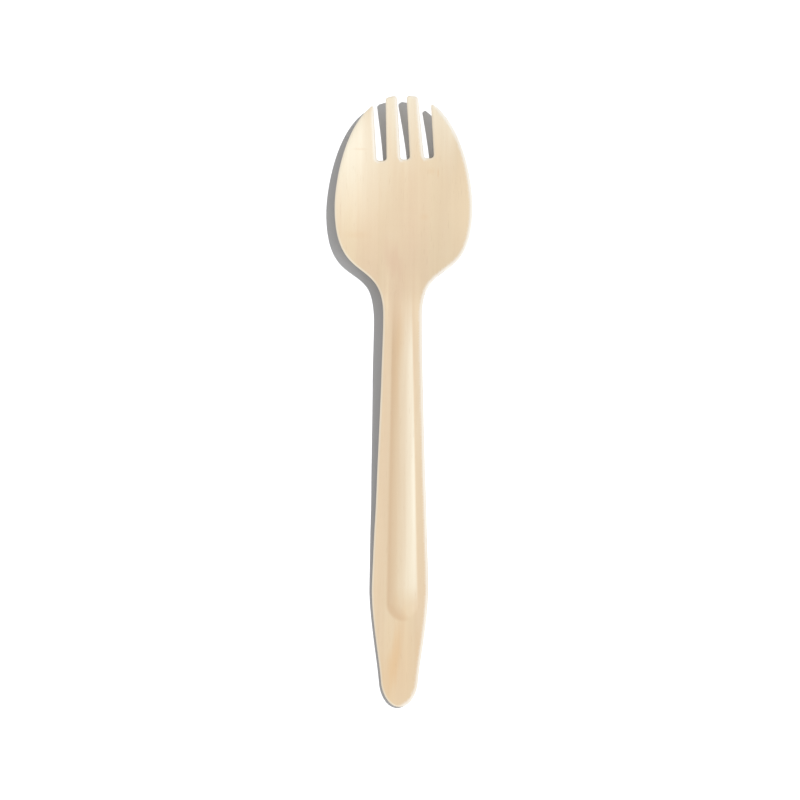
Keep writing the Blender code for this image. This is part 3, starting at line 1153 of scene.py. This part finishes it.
    def rib_bands(self, bench: Bench, place: Socket, press: Press) -> tuple[Socket, Socket]:
        """Masks of painted shade on the rib's left foot and painted highlight on its right flank.

        The place across is taken from the drifting spine, and the place along from the centre of
        the round end. Both are counted in the half width, which narrows evenly.

        Args:
            bench: The material's bench.
            place: Source socket of the places in the sheet.
            press: The dies.

        Returns:
            The sockets of the dark mask and the bright one.
        """
        narrowing = (press.rib_neck_width - press.rib_grip_width) / 2 / press.rib_run
        drifting = -press.rib_drift / press.rib_run
        centre = press.rib_start + press.rib_grip_width / 2
        top = press.blank.length - press.rib_full_drop
        sideways, onward = bench.parts(place)
        from_grip = bench.math("SUBTRACT", onward, press.blank.grip_place)
        reach = bench.math("MULTIPLY_ADD", from_grip, narrowing, press.rib_grip_width / 2)
        spine = bench.math("MULTIPLY_ADD", from_grip, drifting, press.rib_drift)
        across = bench.math("DIVIDE", bench.math("SUBTRACT", sideways, spine), reach)
        past = bench.math("MAXIMUM", bench.math("SUBTRACT", centre, onward), 0.0)
        along = bench.times(bench.math("DIVIDE", past, reach), self.end_reach)
        fade_end = top + press.rib_fade * self.band_fade_share
        fade = bench.ramp(onward, top, fade_end, 1.0, 0.0)
        dark = bench.times(self.band(bench, across, along, self.painted_shade_band), fade)
        bright = bench.times(self.band(bench, across, along, self.painted_highlight_band), fade)
        low, high = (centre + shift for shift in self.bright_fade)
        low_fade = bench.ramp(onward, low, high, 0.0, 1.0)
        return dark, bench.times(bright, low_fade)

    def face_colour(self, bench: Bench, place: Socket, grain: bpy.types.Node,
                    press: Press) -> Socket:
        """Colour of the sheet's faces: hue and figure, the marks with painted light and shade,
        then the rib's bands of painted shade and highlight.

        Args:
            bench: The material's bench.
            place: Source socket of the places in the sheet.
            grain: The grain's group.
            press: The dies, for the rib's place.

        Returns:
            The colour's socket.
        """
        hue = bench.blend(grain.outputs["Hue"], self.yellow_colour, self.rosy_and_painted_shade_colour)
        figure = bench.times(grain.outputs["Figure"], self.figure_share)
        colour = bench.blend(self.hue_share, self.colour, hue)
        colour = bench.blend(figure, colour, self.figure_colour)
        spot = soft_spot_group()
        strayed = self.strayed(bench, place)
        for places, marks, shade in (
            # Painted shade of the neck's wedge, with a rosy tone near one tine.
            (strayed, self.painted_shade_and_rosy_spots, self.rosy_and_painted_shade_colour),
            # Painted light on the bowl and right of the neck.
            (strayed, self.painted_light_spots, self.painted_light_colour),
            # Painted highlights on the bowl's left wall, the tines and the handle's right margin.
            (strayed, self.painted_highlight_spots, self.painted_highlight_colour),
            (strayed, self.warm_spots, self.warm_colour),
            (place, self.fine_spots, self.warm_colour),
        ):
            colour = bench.blend(self.spots(bench, places, spot, marks), colour, shade)
        # The rib's painted shade at its left and painted highlight at its right.
        dark, bright = self.rib_bands(bench, place, press)
        colour = bench.blend(dark, colour, self.painted_shade_colour)
        return bench.blend(bright, colour, self.painted_highlight_colour)

    def edge_colours(self, bench: Bench, colour: Socket, cut: Socket,
                     grain: bpy.types.Node) -> Socket:
        """Lay the edge's colours over the faces': rubbed edge, paler also by painted highlight,
        the painted highlight rim at the right, the wall and its layers.

        Args:
            bench: The material's bench.
            colour: Source socket of the faces' colour.
            cut: Source socket of the share of the cut.
            grain: The grain's group.

        Returns:
            The colour's socket.
        """
        # Painted highlight along the edges that face to the right.
        rim = bench.add("ShaderNodeAttribute", attribute_name="painted highlight rim").outputs["Fac"]
        # The rounded edge, partly paler rubbed wood and partly painted highlight.
        edge = bench.ramp(cut, 0.0, self.edge_full, 0.0, self.rubbed_edge_and_highlight_share)
        wall = bench.ramp(cut, self.wall_start, 1.0, 0.0, 1.0)
        layers = bench.times(grain.outputs["Layers"], self.layer_share)
        for share, shade in (
            (edge, self.rubbed_edge_and_highlight_colour),
            (bench.times(rim, self.painted_highlight_rim_share), self.painted_highlight_rim_colour),
            (bench.times(wall, self.wall_share), self.wall_colour),
            (bench.times(wall, layers), self.layer_colour),
        ):
            colour = bench.blend(share, colour, shade)
        return colour

    def material(self, spork: Spork) -> bpy.types.Material:
        """The wood's material, worked on the places of the flat sheet.

        The streaks are weaker in the bowl. They and the cut are duller than the rest.

        Args:
            spork: The spork, for the places of its marks.

        Returns:
            The material.
        """
        material = bpy.data.materials.new("pale birch")
        material.use_nodes = True
        bench = Bench(material.node_tree)
        shader = material.node_tree.nodes["Principled BSDF"]
        place = bench.add("ShaderNodeAttribute", attribute_name="sheet place").outputs["Vector"]
        cut = bench.add("ShaderNodeAttribute", attribute_name="cut").outputs["Fac"]
        grain = bench.group(self.grain.group(), {0: place})
        _, along = bench.parts(place)
        neck = spork.blank.neck
        strength = bench.ramp(
            along, neck, neck + self.calm_run, self.streak_share, self.bowl_streak_share
        )
        streaks = bench.times(grain.outputs["Streaks"], strength)
        flecks = bench.times(grain.outputs["Flecks"], self.fleck_share)
        colour = self.face_colour(bench, place, grain, spork.press)
        colour = self.edge_colours(bench, colour, cut, grain)
        colour = bench.blend(streaks, colour, self.streak_colour)
        colour = bench.blend(flecks, colour, self.fleck_colour)
        bench.tree.links.new(colour, shader.inputs["Base Color"])

        smoothest = self.roughness - self.streak_roughness / 2
        duller = bench.math(
            "MULTIPLY_ADD", grain.outputs["Streaks"], self.streak_roughness, smoothest
        )
        rough = bench.math("MULTIPLY_ADD", cut, self.cut_roughness, duller)
        bench.tree.links.new(rough, shader.inputs["Roughness"])
        bump = bench.add("ShaderNodeBump", {
            "Height": grain.outputs["Fibres"], "Strength": 1.0, "Distance": self.fibre_bump
        })
        bench.tree.links.new(bump.outputs["Normal"], shader.inputs["Normal"])
        return material


@dataclass
class Table:
    """Wide pale floor that shows white around the spork and keeps its shadow."""

    half_width: float = 2.0
    drop: float = 0.00002
    seen_colour: Colour = (0.462, 0.468, 0.480, 1.0)
    lighting_colour: Colour = (0.30, 0.30, 0.30, 1.0)

    def build(self) -> bpy.types.Object:
        """The floor, just under the spork.

        Returns:
            The floor's object.
        """
        corners = np.array([[-1.0, -1.0], [1.0, -1.0], [1.0, 1.0], [-1.0, 1.0]]) * self.half_width
        points = np.column_stack([corners, np.full(4, -self.drop)])
        mesh = mesh_of("floor", points, [np.array([[0, 1, 2, 3]])])
        floor = bpy.data.objects.new("floor", mesh)
        bpy.context.scene.collection.objects.link(floor)
        mesh.materials.append(self.material())
        return floor

    def material(self) -> bpy.types.Material:
        """Matt grey that the sun brings to white, and that throws back less on the spork.

        Returns:
            The material.
        """
        material = bpy.data.materials.new("floor")
        material.use_nodes = True
        bench = Bench(material.node_tree)
        shader = material.node_tree.nodes["Principled BSDF"]
        shader.inputs["Roughness"].default_value = 1.0
        shader.inputs["Specular IOR Level"].default_value = 0.0
        seen = bench.add("ShaderNodeLightPath").outputs["Is Camera Ray"]
        colour = bench.blend(seen, self.lighting_colour, self.seen_colour)
        bench.tree.links.new(colour, shader.inputs["Base Color"])
        return material


@dataclass
class Studio:
    """Plain soft light: a white dome, a softbox at the right, and a sun on the floor alone."""

    dome: float = 0.88
    box_size: float = 0.5
    box_distance: float = 1.2
    box_azimuth: float = math.radians(-30)
    box_from_above: float = math.radians(48)
    box_radiance: float = 3.2
    sun_way: tuple[float, float] = (0.804, 0.595)
    sun_height: float = math.radians(64)
    sun_strength: float = 6.6
    sun_width: float = math.radians(0.6)

    def build(self, floor: bpy.types.Object) -> None:
        """Set up the world and the two lamps.

        Args:
            floor: The floor, which alone takes the sun.
        """
        self.light_dome()
        self.light_box()
        self.light_sun(floor)

    def light_dome(self) -> None:
        """White all round, at full white where the camera or a reflection sees it."""
        world = bpy.data.worlds.new("dome")
        world.use_nodes = True
        bpy.context.scene.world = world
        bench = Bench(world.node_tree)
        path = bench.add("ShaderNodeLightPath").outputs
        seen = bench.math("MAXIMUM", path["Is Camera Ray"], path["Is Glossy Ray"])
        seen = bench.math("MAXIMUM", seen, path["Is Transmission Ray"])
        strength = bench.math("MULTIPLY_ADD", seen, 1.0 - self.dome, self.dome)
        background = world.node_tree.nodes["Background"]
        background.inputs["Color"].default_value = (1.0, 1.0, 1.0, 1.0)
        bench.tree.links.new(strength, background.inputs["Strength"])

    def light_box(self) -> None:
        """Square softbox at the right of the handle, aimed at the spork."""
        lamp = bpy.data.lights.new("softbox", "AREA")
        lamp.shape = "SQUARE"
        lamp.size = self.box_size
        lamp.energy = self.box_radiance * math.pi * self.box_size**2
        flat = math.sin(self.box_from_above)
        way = Vector((
            flat * math.cos(self.box_azimuth),
            flat * math.sin(self.box_azimuth),
            math.cos(self.box_from_above),
        ))
        self.hang(lamp, way * self.box_distance, way)

    def light_sun(self, floor: bpy.types.Object) -> None:
        """Sun that draws the crisp shadow.

        Args:
            floor: The floor, which alone takes its light.
        """
        lamp = bpy.data.lights.new("sun", "SUN")
        lamp.energy = self.sun_strength
        lamp.angle = self.sun_width
        flat = math.cos(self.sun_height)
        way = Vector((self.sun_way[0] * flat, self.sun_way[1] * flat, math.sin(self.sun_height)))
        holder = self.hang(lamp, way, way)
        receivers = bpy.data.collections.new("sunlit")
        receivers.objects.link(floor)
        holder.light_linking.receiver_collection = receivers

    def hang(self, lamp: bpy.types.Light, place: Vector, way: Vector) -> bpy.types.Object:
        """Put a lamp in the scene.

        Args:
            lamp: The lamp.
            place: Where it hangs.
            way: From the spork to the lamp.

        Returns:
            The lamp's object.
        """
        holder = bpy.data.objects.new(lamp.name, lamp)
        holder.location = place
        holder.rotation_euler = way.to_track_quat("Z", "Y").to_euler()
        bpy.context.scene.collection.objects.link(holder)
        return holder


@dataclass
class View:
    """Camera straight above, turned a touch, as in the photograph."""

    across: float = -0.00048
    along: float = 0.00040
    height: float = 1.5
    subject: float = 0.005
    turn: float = math.radians(0.5)
    frame_width: float = 0.2091
    sensor: float = 36.0

    def build(self) -> None:
        """Make the camera and let the scene use it."""
        camera = bpy.data.cameras.new("camera")
        camera.sensor_width = self.sensor
        camera.lens = self.sensor * self.height / self.frame_width
        holder = bpy.data.objects.new("camera", camera)
        holder.location = (self.across, self.along, self.height + self.subject)
        holder.rotation_euler = Euler((0.0, 0.0, self.turn))
        bpy.context.scene.collection.objects.link(holder)
        bpy.context.scene.camera = holder


def main() -> None:
    """Build the spork, its floor, its light and the camera, in that order."""
    logging.basicConfig(level=logging.INFO, format="%(name)s: %(message)s")
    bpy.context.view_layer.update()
    low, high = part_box(CAD_NODE)
    size = [(end - start) * MILLIMETRES for start, end in zip(low, high)]
    log.info("frame loaded, CAD box %.1f x %.1f x %.1f mm", *size)
    bpy.context.scene.view_settings.view_transform = "Standard"

    place = Vector(((low[0] + high[0]) / 2, low[1], low[2]))
    spork = Spork(place)
    piece = spork.build()
    spork.dress(piece, Birch())
    mesh = piece.data
    log.info("%s: %d points, %d faces", piece.name, len(mesh.vertices), len(mesh.polygons))

    floor = Table().build()
    log.info("%s laid", floor.name)
    Studio().build(floor)
    View().build()
    log.info("light and camera set")


if __name__ == "__main__":
    main()
